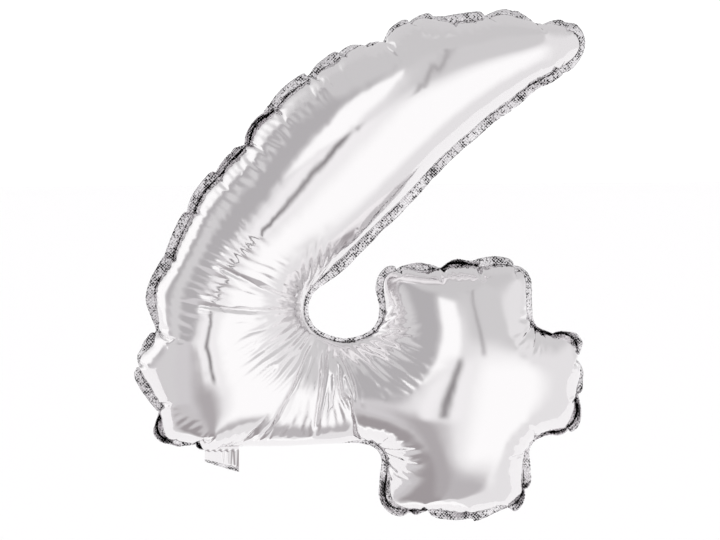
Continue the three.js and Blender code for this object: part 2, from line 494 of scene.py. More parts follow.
@dataclass
class Film:
    """The two films and the weld flange as one mesh, with its flat pattern.

    Attributes:
        flat: Flat pattern, one point (x, z) in mm for each vertex.
        place: Where each vertex is, in mm.
        tris: Corners of each triangle.
        sheet: The Sheet of each triangle.
        seam: Vertices along the seam, in order.
        rim: Vertices along the flange's outer edge, in the same order.
        fold: True at vertices on a fold line between two lobes of the flange.
    """

    flat: np.ndarray
    place: np.ndarray
    tris: np.ndarray
    sheet: np.ndarray
    seam: np.ndarray
    rim: np.ndarray
    fold: np.ndarray

    @property
    def skin(self) -> np.ndarray:
        """The triangles that hold the gas in."""
        return self.tris[self.sheet != Sheet.FLANGE]

    def edge_codes(self) -> np.ndarray:
        """Gives each triangle's three edges a number, which the triangles on an edge share."""
        ends = np.sort(np.stack([self.tris, np.roll(self.tris, -1, 1)], 2), axis=2)
        return ends[:, :, 0].astype(np.int64) * len(self.place) + ends[:, :, 1]

    def refined(self) -> "Film":
        """Splits each triangle in four, with the seam and the rim kept smooth.

        Returns:
            The finer film.
        """
        count = len(self.place)
        codes = self.edge_codes()
        unique, where = np.unique(codes, return_inverse=True)
        middle = where.reshape(codes.shape) + count
        first, second = unique // count, unique % count
        flat = np.vstack([self.flat, (self.flat[first] + self.flat[second]) / 2])
        place = np.vstack([self.place, (self.place[first] + self.place[second]) / 2])
        loops = []
        for loop in (self.seam, self.rim):
            after = np.roll(loop, -1)
            code = np.minimum(loop, after) * count + np.maximum(loop, after)
            between = np.searchsorted(unique, code) + count
            for values in (flat, place):
                # Halfway along the cubic through four vertices in a row.
                outer = values[np.roll(loop, 1)] + values[np.roll(loop, -2)]
                values[between] = (9 * (values[loop] + values[after]) - outer) / 16
            loops.append(np.stack([loop, between], 1).ravel())
        a, b, c = self.tris.T
        ab, bc, ca = middle.T
        quarters = ((a, ab, ca), (b, bc, ab), (c, ca, bc), (ab, bc, ca))
        tris = np.vstack([np.stack(corners, 1) for corners in quarters])
        fold = np.r_[self.fold, self.fold[first] & self.fold[second]]
        return Film(flat, place, tris, np.tile(self.sheet, 4), loops[0], loops[1], fold)


@dataclass(frozen=True)
class FilmStock:
    """How the film behaves when it is filled. Each stiffness is a share from 0 to 1.

    Attributes:
        crush: Resistance of the film to being pressed together in its own plane.
        bend: Resistance of one film to bending.
        weld_crush: The same as crush, for the welded flange.
        weld_bend: The same as bend, for the welded flange.
        fold: What a fold line leaves of the flange's resistance.
        drag: What one step leaves of the speed.
    """

    crush: float = 0.4
    bend: float = 0.0
    weld_crush: float = 0.9
    weld_bend: float = 0.8
    fold: float = 0.0
    drag: float = 0.97


@dataclass(frozen=True)
class Links:
    """Pairs of vertices that don't meet each other, so that they can be corrected together.

    Attributes:
        first: One vertex of each pair.
        second: The other vertex.
        length: How far apart they belong, in mm.
        pull: Share of a stretch that each vertex takes back in one step.
        push: Share of a shortening that each vertex takes back.
    """

    first: np.ndarray
    second: np.ndarray
    length: np.ndarray
    pull: np.ndarray
    push: np.ndarray


def independent(pairs: np.ndarray, count: int) -> list[np.ndarray]:
    """Sorts pairs into groups in which no vertex comes twice.

    Args:
        pairs: Two vertices a row.
        count: How many vertices there are.

    Returns:
        The rows of each group.
    """
    used = [0] * count
    group = []
    for first, second in pairs.tolist():
        taken = used[first] | used[second]
        free = ~taken & (taken + 1)
        used[first] |= free
        used[second] |= free
        group.append(free.bit_length() - 1)
    numbers = np.array(group)
    return [np.nonzero(numbers == k)[0] for k in range(numbers.max() + 1)]


def facing(skin: np.ndarray, place: np.ndarray) -> np.ndarray:
    """Works out the area that the gas pushes on, and which way it pushes.

    Args:
        skin: The triangles that hold the gas in.
        place: Where each vertex is.

    Returns:
        The area of each vertex, as a vector that points out of the balloon.
    """
    corner = place[skin[:, 0]]
    # Each corner has a third of its triangle, whose area is half the cross product.
    normal = np.cross(place[skin[:, 1]] - corner, place[skin[:, 2]] - corner) / 6
    parts = [np.bincount(skin.ravel(), np.repeat(normal[:, k], 3), len(place)) for k in range(3)]
    return np.stack(parts, 1)


class Filling:
    """Fills a film with gas: position-based dynamics with a film that hardly stretches."""

    def __init__(self, film: Film, stock: FilmStock, held: np.ndarray) -> None:
        """Prepares the links between the film's vertices.

        Args:
            film: The film to fill, which keeps its shape until run is called.
            stock: How it behaves.
            held: Vertices that keep their place.
        """
        self.film = film
        self.stock = stock
        self.held = held
        self.links = self._links()
        self.skin = film.skin
        corners = film.flat[self.skin]
        side_a, side_b = corners[:, 1] - corners[:, 0], corners[:, 2] - corners[:, 0]
        area = np.abs(side_a[:, 0] * side_b[:, 1] - side_a[:, 1] * side_b[:, 0]) / 6
        share = np.bincount(self.skin.ravel(), np.repeat(area, 3), len(film.place))
        self.share = np.maximum(share, np.median(share[share > 0])).astype(np.float32)[:, None]

    def _links(self) -> list[Links]:
        """Makes the links: edges hold the film's length, and pairs across an edge hold it flat.

        Returns:
            The links, in groups that can be corrected together.
        """
        film, stock = self.film, self.stock
        count = len(film.place)
        codes = film.edge_codes().ravel()
        unique = np.unique(codes)
        edges = np.stack([unique // count, unique % count], 1)
        order = np.argsort(codes, kind="stable")
        opposite = np.roll(film.tris, 1, 1).ravel()[order]
        sheet = np.repeat(film.sheet, 3)[order]
        starts = np.nonzero(np.r_[True, np.diff(codes[order]) != 0])[0]
        shared = starts[np.diff(np.r_[starts, len(codes)]) == 2]
        wings = np.stack([opposite[shared], opposite[shared + 1]], 1)
        welded = np.zeros(count, bool)
        welded[film.tris[film.sheet == Sheet.FLANGE]] = True
        edge_push = np.where(welded[edges].all(1), stock.weld_crush, stock.crush)
        wing_push = np.where(sheet[shared] == Sheet.FLANGE, stock.weld_bend, stock.bend)
        made = []
        for pairs, pull, push in ((edges, 1.0, edge_push), (wings, 0.0, wing_push)):
            push = np.where(welded[pairs].all(1) & film.fold[pairs].any(1), push * stock.fold, push)
            length = np.linalg.norm(film.flat[pairs[:, 0]] - film.flat[pairs[:, 1]], axis=1)
            for rows in independent(pairs, count):
                first, second = pairs[rows].T.copy()
                made.append(Links(
                    first, second, length[rows].astype(np.float32),
                    np.full(len(rows), pull / 2, np.float32), (push[rows] / 2).astype(np.float32),
                ))
        return made

    def run(self, steps: int, pressure: float) -> None:
        """Fills the film.

        Args:
            steps: Number of time steps.
            pressure: How far one step of the gas would move a free vertex, in mm.
        """
        place = self.film.place.astype(np.float32)
        speed = np.zeros_like(place)
        kept = place[self.held].copy()
        for _ in range(steps):
            gas = (pressure * facing(self.skin, place) / self.share).astype(np.float32)
            speed = (speed + gas) * self.stock.drag
            before = place
            place = place + speed
            for link in self.links:
                offset = place[link.first] - place[link.second]
                length = np.sqrt(np.einsum("ij,ij->i", offset, offset)) + TINY
                excess = length - link.length
                excess *= np.where(excess > 0, link.pull, link.push) / length
                offset *= excess[:, None]
                place[link.first] -= offset
                place[link.second] += offset
            place[self.held] = kept
            speed = place - before
        self.film.place = place.astype(float)


@dataclass(frozen=True)
class Pattern:
    """Cuts the two films flat, and welds and fills them so that the seam ends where it belongs.

    Attributes:
        seam: The filled balloon's seam as a clockwise loop, (x, z) in mm.
        neck: Centre of the filling neck on the seam, (x, z) in mm.
        neck_width: Width of the neck, over which the seam stays straight.
        flange: Width of the flat weld flange where the seam is straight or curves outwards.
        inner_flange: Its width where the seam curves inwards, round the counter and in the corners.
        allowance: How much larger all round the flat pattern starts than the filled balloon.
        guess_step: Spacing of the points that the first guess is made with.
        guess_smooth: Share of each corner that one of its steps smooths away.
        fit_smooth: The same, for each correction of the pattern.
        most_push: Furthest that one correction opens a slit.
        slit: Least gap in the flat pattern, between parts that come near each other.
        step: Spacing of the first, coarse mesh.
        lobe_least: Shortest lobe of the flange, along the flat seam.
        lobe_most: Longest lobe.
        pinch: How far the seam starts inwards where two lobes meet.
        rim_pinch: How many times as far the flange's rim starts inwards there.
        rim_tip: How many times as far it starts to one side.
        slope: How steeply the two films start to bulge from the seam.
        bulge_reach: How far from the seam they rise.
        jitter: How far the mesh's inner points stray from their grid, in steps.
        clear: How far they keep from the seam, in steps.
        turn_reach: Points on each side over which a turn of the seam is measured.
        full_turn: Sine of the inward turn at which the flange is at its narrowest.
        seed: Start of the random numbers.
    """

    seam: np.ndarray
    neck: tuple[float, float]
    neck_width: float
    flange: float = 6.5
    inner_flange: float = 2.5
    allowance: float = 18.0
    guess_step: float = 4.0
    guess_smooth: float = 0.3
    fit_smooth: float = 0.2
    most_push: float = 4.0
    slit: float = 9.0
    step: float = 6.0
    lobe_least: float = 24.0
    lobe_most: float = 38.0
    pinch: float = 6.0
    rim_pinch: float = 1.4
    rim_tip: float = 0.7
    slope: float = 0.35
    bulge_reach: float = 45.0
    jitter: float = 0.2
    clear: float = 0.65
    turn_reach: int = 3
    full_turn: float = 0.35
    seed: int = 2

    def first_guess(self) -> np.ndarray:
        """Moves the seam outwards in small steps, but not where it would meet itself.

        Returns:
            The flat pattern to start from.
        """
        loop = respace(self.seam, self.guess_step)
        for _ in range(int(self.allowance)):
            move = soften(np.clip((gap_ahead(loop) - self.slit) / 2, 0, 1), 2)
            loop = respace(loop + outward(loop) * move[:, None], self.guess_step)
            loop += self.guess_smooth * (soften(loop, 1) - loop)
        return respace(loop, self.step)

    def corrected(self, loop: np.ndarray, filled: np.ndarray, rounds: int = 5) -> np.ndarray:
        """Moves the flat pattern by what the filled seam misses its place by.

        Args:
            loop: The flat pattern.
            filled: Where each of its points lies on the filled balloon.
            rounds: How much the correction is smoothed, so that lobes don't feed back into it.

        Returns:
            The next flat pattern.
        """
        moved = loop + soften(nearest(self.seam, filled) - filled, rounds)
        push = soften(np.clip((self.slit - gap_ahead(moved)) / 2, 0, self.most_push), 1)
        moved -= outward(moved) * push[:, None]
        return respace(moved + self.fit_smooth * (soften(moved, 1) - moved), self.step)

    def cut(self, loop: np.ndarray) -> Film:
        """Cuts two films and the flange to a flat pattern, and bulges them a little.

        Args:
            loop: The flat pattern's seam line.

        Returns:
            The coarse film, ready to be filled.
        """
        rng = np.random.default_rng(self.seed)
        count = len(loop)
        inner = self._grid(loop)
        inner += rng.uniform(-self.jitter * self.step, self.jitter * self.step, inner.shape)
        inner = inner[within(loop, inner)]
        depth = np.linalg.norm(nearest(loop, inner) - inner, axis=1)
        kept = depth > self.clear * self.step
        inner, depth = inner[kept], depth[kept]
        points = [Vector(p) for p in np.vstack([loop, inner])]
        sides = [(k, (k + 1) % count) for k in range(count)]
        inside_only, snap = 1, 1e-6
        flat, _, faces, _, _, _ = geometry.delaunay_2d_cdt(points, sides, [], inside_only, snap)
        flat = np.array([tuple(p) for p in flat])
        faces = np.array([tuple(f) for f in faces])
        faces = faces[within(loop, flat[faces].mean(1))]
        corner = flat[faces]
        a, b = corner[:, 1] - corner[:, 0], corner[:, 2] - corner[:, 0]
        turned = a[:, 0] * b[:, 1] - a[:, 1] * b[:, 0] < 0
        faces[turned] = faces[turned][:, ::-1]
        inside = len(flat) - count
        back = np.where(faces < count, faces, faces + inside)[:, ::-1]
        seam = np.arange(count)
        rim = seam + count + 2 * inside
        after = np.roll(seam, -1)
        flange = np.vstack([np.stack([seam, after, rim], 1), np.stack([after, rim[after], rim], 1)])
        edge = loop + outward(loop) * self._flange_widths(loop)[:, None]
        bulge = self.slope * np.minimum(depth, self.bulge_reach)
        sideways = np.r_[np.zeros(count), -bulge, bulge, np.zeros(count)]
        plan = np.vstack([flat, flat[count:], edge])
        film = Film(
            flat=plan,
            place=np.stack([plan[:, 0], sideways, plan[:, 1]], 1),
            tris=np.vstack([faces, back, flange]),
            sheet=np.repeat(list(Sheet), [len(faces), len(back), len(flange)]),
            seam=seam,
            rim=rim,
            fold=np.zeros(len(plan), bool),
        )
        self._start_folds(film, rng)
        return film

    def _grid(self, loop: np.ndarray) -> np.ndarray:
        """Lays a grid of equal triangles over a loop.

        Args:
            loop: The loop.

        Returns:
            The grid's points, one a row.
        """
        low, high = loop.min(0) - self.step, loop.max(0) + self.step
        row = self.step * math.sqrt(3) / 2
        rows = []
        for k in range(int((high[1] - low[1]) / row) + 1):
            across = np.arange(low[0] + (k % 2) * self.step / 2, high[0], self.step)
            rows.append(np.stack([across, np.full(len(across), low[1] + k * row)], 1))
        return np.vstack(rows)

    def _flange_widths(self, loop: np.ndarray) -> np.ndarray:
        """Narrows the flange where the seam turns inwards.

        Args:
            loop: The flat pattern's seam line.

        Returns:
            The flange's width at each of its points.
        """
        before = loop - np.roll(loop, self.turn_reach, 0)
        ahead = np.roll(loop, -self.turn_reach, 0) - loop
        turn = before[:, 0] * ahead[:, 1] - before[:, 1] * ahead[:, 0]
        turn /= np.linalg.norm(before, axis=1) * np.linalg.norm(ahead, axis=1)
        inwards = soften(np.clip(turn / self.full_turn, 0, 1), 4)
        return self.flange + (self.inner_flange - self.flange) * inwards

    def _start_folds(self, film: Film, rng: np.random.Generator) -> None:
        """Marks a fold line between each two lobes of the flange, and starts it inwards.

        Args:
            film: The coarse film.
            rng: Where the lobes' lengths and sides come from.
        """
        way_in = -outward(film.flat[film.seam])
        at = 0.0
        total = len(film.seam) * self.step
        while at < total - self.lobe_least:
            k = int(at / self.step)
            seam, rim = film.seam[k], film.rim[k]
            film.fold[[seam, rim]] = True
            side = rng.choice((-1.0, 1.0))
            inwards = self.pinch * np.array([way_in[k, 0], 0, way_in[k, 1]])
            film.place[seam] += inwards
            film.place[rim] += self.rim_pinch * inwards + (0, self.rim_tip * self.pinch * side, 0)
            at += rng.uniform(self.lobe_least, self.lobe_most)

    def hold_neck(self, film: Film) -> np.ndarray:
        """Lays the seam straight over the width of the neck.

        Args:
            film: The film, whose seam there is moved to its place.

        Returns:
            The vertices that are held.
        """
        flat = film.flat[film.seam]
        centre = int(np.argmin(np.linalg.norm(flat - self._neck_on_pattern(film), axis=1)))
        spacing = np.linalg.norm(flat[centre] - flat[centre - 1])
        reach = int(self.neck_width / 2 / spacing) + 1
        rows = np.arange(centre - reach, centre + reach + 1)
        held = film.seam[rows]
        film.place[held, 0] = self.neck[0] + (centre - rows) * spacing
        film.place[held, 1] = 0
        film.place[held, 2] = self.neck[1]
        film.fold[held] = False
        film.fold[film.rim[rows]] = False
        return held

    def _neck_on_pattern(self, film: Film) -> np.ndarray:
        """Finds the neck's centre on the flat seam, straight below its place on the filled one.

        Args:
            film: The flat film.

        Returns:
            The centre in the flat pattern.
        """
        flat = film.flat[film.seam]
        below = np.abs(flat[:, 0] - self.neck[0]) < 2 * self.step
        return np.array([self.neck[0], flat[below][:, 1].min()])


@dataclass(frozen=True)
class Web:
    """Which vertices of the skin are neighbours, with each pair in both orders.

    Attributes:
        here: One vertex of each pair.
        there: Its neighbour.
        met: How many neighbours each vertex has.
    """

    here: np.ndarray
    there: np.ndarray
    met: np.ndarray

    @classmethod
    def over(cls, film: Film) -> "Web":
        """Finds the neighbours in a film's skin.

        Args:
            film: The film.

        Returns:
            Its web.
        """
        count = len(film.place)
        codes = np.unique(film.edge_codes()[film.sheet != Sheet.FLANGE])
        ends = np.stack([codes // count, codes % count], 1)
        here, there = np.vstack([ends, ends[:, ::-1]]).T
        return cls(here, there, np.maximum(np.bincount(here, minlength=count), 1))

    def spread(self, values: np.ndarray, rounds: int) -> np.ndarray:
        """Smooths a value over neighbouring vertices.

        Args:
            values: One value for each vertex.
            rounds: How many times each is mixed with its neighbours'.

        Returns:
            The smooth values.
        """
        for _ in range(rounds):
            near = np.bincount(self.here, values[self.there], len(values)) / self.met
            values = 0.5 * values + 0.5 * near
        return values


@dataclass(frozen=True)
class Pleats:
    """Fine pleats, where the filled film is still pressed together: too fine for the simulation.

    Attributes:
        pitch: Distance from one pleat to the next, in mm. Real ones are a little closer.
        slack: Share of its length that the film gives up without a pleat.
        depth: Depth of the pleats, as a share of what takes up all of the lost length.
        spread: Rounds of smoothing of the film's lost length.
        rounds: Rounds in which neighbouring pleats join up.
        fade: Rounds that the pleats fade out over, towards the seam.
        seed: Start of the random numbers.
    """

    pitch: float = 6.0
    slack: float = 0.013
    depth: float = 1.1
    spread: int = 12
    rounds: int = 80
    fade: int = 2
    seed: int = 1

    def press(self, film: Film) -> None:
        """Adds the pleats to a filled film.

        Args:
            film: The film, whose vertices are moved along their normals.
        """
        web = Web.over(film)
        xx, xz, zz = (web.spread(part, self.spread) for part in self._lost_length(film))
        lost, ways = np.linalg.eigh(np.stack([xx, xz, xz, zz], 1).reshape(-1, 2, 2))
        lost, way = lost[:, 1], ways[:, :, 1]
        depth = self.depth * self.pitch / math.pi * np.sqrt(np.maximum(lost - self.slack, 0))

        inside = np.ones(len(film.place))
        for _ in range(self.fade):
            inside[film.seam] = 0
            inside = web.spread(inside, 1)
        inside[film.seam] = 0

        normals = facing(film.skin, film.place)
        normals /= np.linalg.norm(normals, axis=1)[:, None] + TINY
        height = depth * self._crests(film, web, lost, way) * inside
        film.place = film.place + normals * height[:, None]

    def _crests(self, film: Film, web: Web, lost: np.ndarray, way: np.ndarray) -> np.ndarray:
        """Places the pleats, so that neighbouring ones join up.

        Args:
            film: The filled film.
            web: Its neighbours.
            lost: Lost length at each vertex.
            way: Direction across the pleats at each vertex, on the flat pattern.

        Returns:
            1 on top of a pleat and -1 between two, for each vertex.
        """
        here, there = web.here, web.there
        same = np.sign((way[here] * way[there]).sum(1))
        across = way[here] + same[:, None] * way[there]
        across /= np.linalg.norm(across, axis=1)[:, None] + TINY
        step = (across * (film.flat[here] - film.flat[there])).sum(1)
        turn = np.exp(2j * math.pi / self.pitch * step) * lost[there]
        count = len(film.place)
        phase = np.exp(2j * math.pi * np.random.default_rng(self.seed).uniform(size=count))
        for _ in range(self.rounds):
            met = np.where(same > 0, phase[there], phase[there].conj()) * turn
            phase = np.bincount(here, met.real, count) + 1j * np.bincount(here, met.imag, count)
            phase /= np.abs(phase) + TINY
        return phase.real

    def _lost_length(self, film: Film) -> list[np.ndarray]:
        """Works out how much shorter the film is than its flat pattern, and across which way.

        Args:
            film: The filled film.

        Returns:
            The xx, xz and zz parts of the lost length, each with one value for each vertex.
        """
        flat, place = film.flat[film.skin], film.place[film.skin]
        flat_sides = np.stack([flat[:, 1] - flat[:, 0], flat[:, 2] - flat[:, 0]], 2)
        sides = np.stack([place[:, 1] - place[:, 0], place[:, 2] - place[:, 0]], 2)
        change = sides @ np.linalg.inv(flat_sides)
        left, ways = np.linalg.eigh(np.einsum("nij,nik->njk", change, change))
        lost = np.maximum(1 - np.sqrt(np.maximum(left[:, 0], 0)), 0)
        x, z = ways[:, 0, 0], ways[:, 1, 0]
        corners, count = film.skin.ravel(), len(film.place)
        met = np.maximum(np.bincount(corners, minlength=count), 1)
        parts = (x * x, x * z, z * z)
        return [np.bincount(corners, np.repeat(lost * part, 3), count) / met for part in parts]


@dataclass(frozen=True)
class FillingPlan:
    """How long each stage of the filling runs, and at what pressure.

    Attributes:
        trials: Trial fits of the flat pattern.
        trial: Steps and pressure of a trial, on the coarse mesh.
        finer: Steps and pressure on each finer mesh, in order.
    """

    trials: int = 6
    trial: tuple[int, float] = (260, 0.008)
    finer: tuple[tuple[int, float], ...] = ((220, 0.003), (200, 0.001))


def filled_film(pattern: Pattern, stock: FilmStock, plan: FillingPlan) -> Film:
    """Fits the flat pattern by trial, then fills the balloon on finer and finer meshes.

    Args:
        pattern: The pattern to cut.
        stock: How the film behaves.
        plan: Steps and pressures.

    Returns:
        The filled film.
    """
    loop = pattern.first_guess()
    film = None
    least = math.inf
    for trial in range(plan.trials):
        tried = pattern.cut(loop)
        Filling(tried, stock, pattern.hold_neck(tried)).run(*plan.trial)
        seam = tried.place[tried.seam][:, [0, 2]]
        miss = np.linalg.norm(nearest(pattern.seam, seam) - seam, axis=1).mean()
        LOG.info("trial %d: the seam misses by %.2f mm", trial, miss)
        if miss < least:
            film, least = tried, miss
        loop = pattern.corrected(loop, seam)
    for steps, pressure in plan.finer:
        film = film.refined()
        Filling(film, stock, pattern.hold_neck(film)).run(steps, pressure)
        LOG.info("filled on %d triangles", len(film.tris))
    return film


# ---------------------------------------------------------------- the envelope


def seam_of(node: bpy.types.Object) -> np.ndarray:
    """Reads the seam line off the rim of a packed film.

    Args:
        node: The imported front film, whose rim is flat and faces the seam plane.

    Returns:
        The outer edge of the rim as a clockwise loop from its lower left, (x, z) in mm.
    """
    shape = bmesh.new()
    shape.from_mesh(node.data)
    bmesh.ops.remove_doubles(shape, verts=shape.verts, dist=SNAP)
    plane = max(v.co.y for v in shape.verts)
    land = {f for f in shape.faces if all(abs(v.co.y - plane) < SNAP for v in f.verts)}
    border = {e for f in land for e in f.edges if sum(g in land for g in e.link_faces) == 1}
    loops = []
    while border:
        edge = border.pop()
        start, vertex = edge.verts
        loop = [start]
        while vertex != start:
            loop.append(vertex)
            edge = next(e for e in vertex.link_edges if e in border)
            border.discard(edge)
            vertex = edge.other_vert(vertex)
        loops.append(np.array([(v.co.x / MM, v.co.z / MM) for v in loop]))
    shape.free()
    longest = max(loops, key=lambda loop: np.linalg.norm(np.roll(loop, -1, 0) - loop, axis=1).sum())
    ahead = np.roll(longest, -1, 0)
    area = (longest[:, 0] * ahead[:, 1] - ahead[:, 0] * longest[:, 1]).sum()
    if area > 0:
        longest = longest[::-1]
    return np.roll(longest, -int(np.argmin(longest.sum(1))), 0)


@dataclass
class Envelope:
    """The filled balloon: two films and the weld flange round them.

    Attributes:
        film_wall: Thickness that the films are given, in mm. Real film is 0.03 mm.
        flange_wall: The same for the flange, in mm.
        neck_zone: How far above and below the seam at the neck the flange is left out, in mm.
        body: The body that the pieces ride on.
    """

    film_wall: float = 0.12
    flange_wall: float = 0.3
    neck_zone: float = 12.0
    body: str = "envelope"

    def build(
        self, film: Film, foil: bpy.types.Material, weld: bpy.types.Material,
        neck: tuple[float, float], neck_width: float,
    ) -> list[bpy.types.Object]:
        """Makes the three pieces from the filled film.

        Args:
            film: The filled film.
            foil: Material of the films.
            weld: Material of the flange.
            neck: Centre of the neck on the seam, (x, z) in mm.
            neck_width: Width of the gap that the flange leaves for the neck.

        Returns:
            The front film, the back film and the flange.
        """
        front = self._sheet("front_foil_film", film, film.sheet == Sheet.FRONT, foil, self.film_wall, -1)
        back = self._sheet("back_foil_film", film, film.sheet == Sheet.BACK, foil, self.film_wall, -1)
        middle = film.place[film.tris].mean(1)
        across, up = np.abs(middle[:, 0] - neck[0]), np.abs(middle[:, 2] - neck[1])
        at_neck = (across < neck_width / 2) & (up < self.neck_zone)
        welded = (film.sheet == Sheet.FLANGE) & ~at_neck
        flange = self._sheet("scalloped_weld_flange", film, welded, weld, self.flange_wall, 0)
        for piece, node, name in (
            (front, "front_film", "foil_film"),
            (back, "back_film", "foil_film"),
            (flange, "weld_flange", "foil_weld"),
        ):
            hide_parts(node)
        return [front, back, flange]

    def _sheet(
        self, name: str, film: Film, chosen: np.ndarray, material: bpy.types.Material,
        wall: float, side: int,
    ) -> bpy.types.Object:
        """Makes one sheet of the film into a smooth piece with a wall.

        Args:
            name: The piece's name.
            film: The filled film.
            chosen: Which of its triangles the sheet takes.
            material: The sheet's material.
            wall: Its thickness in mm.
            side: -1 for a wall behind the surface, 0 for one on both sides of it.

        Returns:
            The piece, riding on the envelope's body.
        """
        used, tris = np.unique(film.tris[chosen], return_inverse=True)
        mesh = bpy.data.meshes.new(name)
        mesh.from_pydata((film.place[used] * MM).tolist(), [], tris.reshape(-1, 3).tolist())
        mesh.materials.append(material)
        mesh.shade_smooth()
        piece = new_piece(name, mesh, self.body)
        solidify = piece.modifiers.new("wall", "SOLIDIFY")
        solidify.thickness = wall * MM
        solidify.offset = side
        solidify.use_even_offset = False
        return piece


# ---------------------------------------------------------------- the filling neck


@dataclass
class FillingNeck:
    """The filling neck: two ribbed leaves that hang from the seam and fold at the neck's hinge.

    Attributes:
        rib_pitch: Spacing of the channels pressed into the leaves, in mm.
        rib_height: How far a channel stands proud, in mm.
        seal_band: Width of the sealed band at the mouth, in mm, which takes the weld material and looks
            grey from its knurl and the painted shade in its pits.
        wall: Thickness of one leaf, in mm.
        gap: Gap between the leaves, in mm.
        twist: How much further back one end of the neck is folded than the other, in degrees.
        bend_radius: Radius of the fold, in mm.
        across: Faces across a leaf.
        down: Faces down a leaf.
    """

    rib_pitch: float = 4.4
    rib_height: float = 0.7
    seal_band: float = 4.5
    wall: float = 0.18
    gap: float = 0.2
    twist: float = 26.0
    bend_radius: float = 2.0
    across: int = 66
    down: int = 60

    def __post_init__(self) -> None:
        """Reads the neck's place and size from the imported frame."""
        low, high = (np.array(c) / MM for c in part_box("neck_front_leaf"))
        hinge = next(j for j in frame["joints"] if j["name"] == "neck_fold")
        self.pivot = np.array(hinge["pos_m"]) / MM
        self.width = high[0] - low[0]
        self.reach = math.hypot(high[1] - self.pivot[1], self.pivot[2] - low[2])
        self.rest = math.atan2(high[1] - self.pivot[1], self.pivot[2] - low[2])

    def build(
        self, root: float, foil: bpy.types.Material, weld: bpy.types.Material
    ) -> list[bpy.types.Object]:
        """Makes the two leaves.

        Args:
            root: Height of the seam above the fold line, in mm.
            foil: Material of the leaves.
            weld: Material of the sealed band.

        Returns:
            The front leaf and the back leaf.
        """
        made = []
        for name, node, side in (
            ("neck_front_sheet", "neck_front_leaf", -1),
            ("neck_back_sheet", "neck_back_leaf", 1),
        ):
            piece = new_piece(name, self._leaf(name, side, root))
            piece.data.materials.append(foil)
            piece.data.materials.append(weld)
            solidify = piece.modifiers.new("wall", "SOLIDIFY")
            solidify.thickness = self.wall * MM
            solidify.offset = 1
            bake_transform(piece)
            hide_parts(node)
            made.append(piece)
        return made

    def _leaf(self, name: str, side: int, root: float) -> bpy.types.Mesh:
        """Shapes a flat grid into a leaf that bends back at the fold.

        Args:
            name: The mesh's name.
            side: -1 for the front leaf, 1 for the back leaf.
            root: Height of the seam above the fold line, in mm.

        Returns:
            The leaf's mesh, in place.
        """
        shape = bmesh.new()
        bmesh.ops.create_grid(shape, x_segments=self.across, y_segments=self.down, size=0.5)
        for vertex in shape.verts:
            u = vertex.co.x * self.width
            t = (0.5 - vertex.co.y) * (self.reach + root) - root
            vertex.co = Vector(self._point(u, t, side)) * MM
        if side > 0:
            bmesh.ops.reverse_faces(shape, faces=shape.faces)
        for face in shape.faces:
            face.smooth = True
        mesh = bpy.data.meshes.new(name)
        shape.to_mesh(mesh)
        shape.free()
        rows = np.array([p.index // self.across for p in mesh.polygons])
        from_mouth = rows / self.down * (self.reach + root)
        # The sealed band takes the second material, the weld, whose pits carry painted shade.
        sealed = from_mouth < self.seal_band
        mesh.polygons.foreach_set("material_index", sealed.astype(np.int32))
        return mesh

    def _point(self, u: float, t: float, side: int) -> tuple[float, float, float]:
        """Place of one point of a leaf.

        Args:
            u: Across the neck from its centre, in mm.
            t: Along the neck from the fold line, in mm, negative above it.
            side: -1 for the front leaf, 1 for the back leaf.

        Returns:
            The point, in mm.
        """
        angle = self.rest - math.radians(self.twist) * u / self.width
        turned = max(0.0, min(t / self.bend_radius, angle))
        straight = max(0.0, t - self.bend_radius * angle)
        y = self.bend_radius * (1 - math.cos(turned)) + straight * math.sin(turned)
        z = -self.bend_radius * math.sin(turned) - straight * math.cos(turned) - min(t, 0.0)
        fade = min(1.0, max(0.0, (self.reach - self.seal_band - t) / 2)) * min(1.0, max(0.0, t / 2))
        rib = self.rib_height * math.cos(math.pi * u / self.rib_pitch) ** 2 * fade
        out = side * (self.gap / 2 + rib)
        return (
            self.pivot[0] + u,
            self.pivot[1] + y + out * math.cos(turned),
            self.pivot[2] + z + out * math.sin(turned),
        )


# ---------------------------------------------------------------- the studio


@dataclass(frozen=True)
class Zone:
    """A soft-edged patch of the studio, as seen from the balloon.

    Attributes:
        tint: sRGB colour.
        azimuth: Its two sides in degrees, from -180 to 180, with 0 in front and 90 on the right.
        elevation: Its lower and upper side in degrees.
        edge: Half the width of its soft edge, in degrees.
    """

    tint: str
    azimuth: tuple[float, float]
    elevation: tuple[float, float]
    edge: float = 3.0

    def mask(
        self, tree: bpy.types.NodeTree, angles: tuple[bpy.types.NodeSocket, ...]
    ) -> bpy.types.NodeSocket:
        """Adds nodes that give 1 inside the zone and 0 outside it.

        Args:
            tree: The world's node tree.
            angles: Sockets that give a direction's azimuth and elevation, in radians.

        Returns:
            The socket that gives the mask.
        """
        mask = None
        for angle, (low, high) in zip(angles, (self.azimuth, self.elevation)):
            for start, end in ((low - self.edge, low + self.edge), (high + self.edge, high - self.edge)):
                side = add_node(
                    tree, "ShaderNodeMapRange", interpolation_type="SMOOTHSTEP", in_Value=angle,
                    in_From_Min=math.radians(start), in_From_Max=math.radians(end),
                ).outputs["Result"]
                if mask is None:
                    mask = side
                    continue
                mask = add_node(
                    tree, "ShaderNodeMath", operation="MULTIPLY", in_0=mask, in_1=side
                ).outputs[0]
        return mask


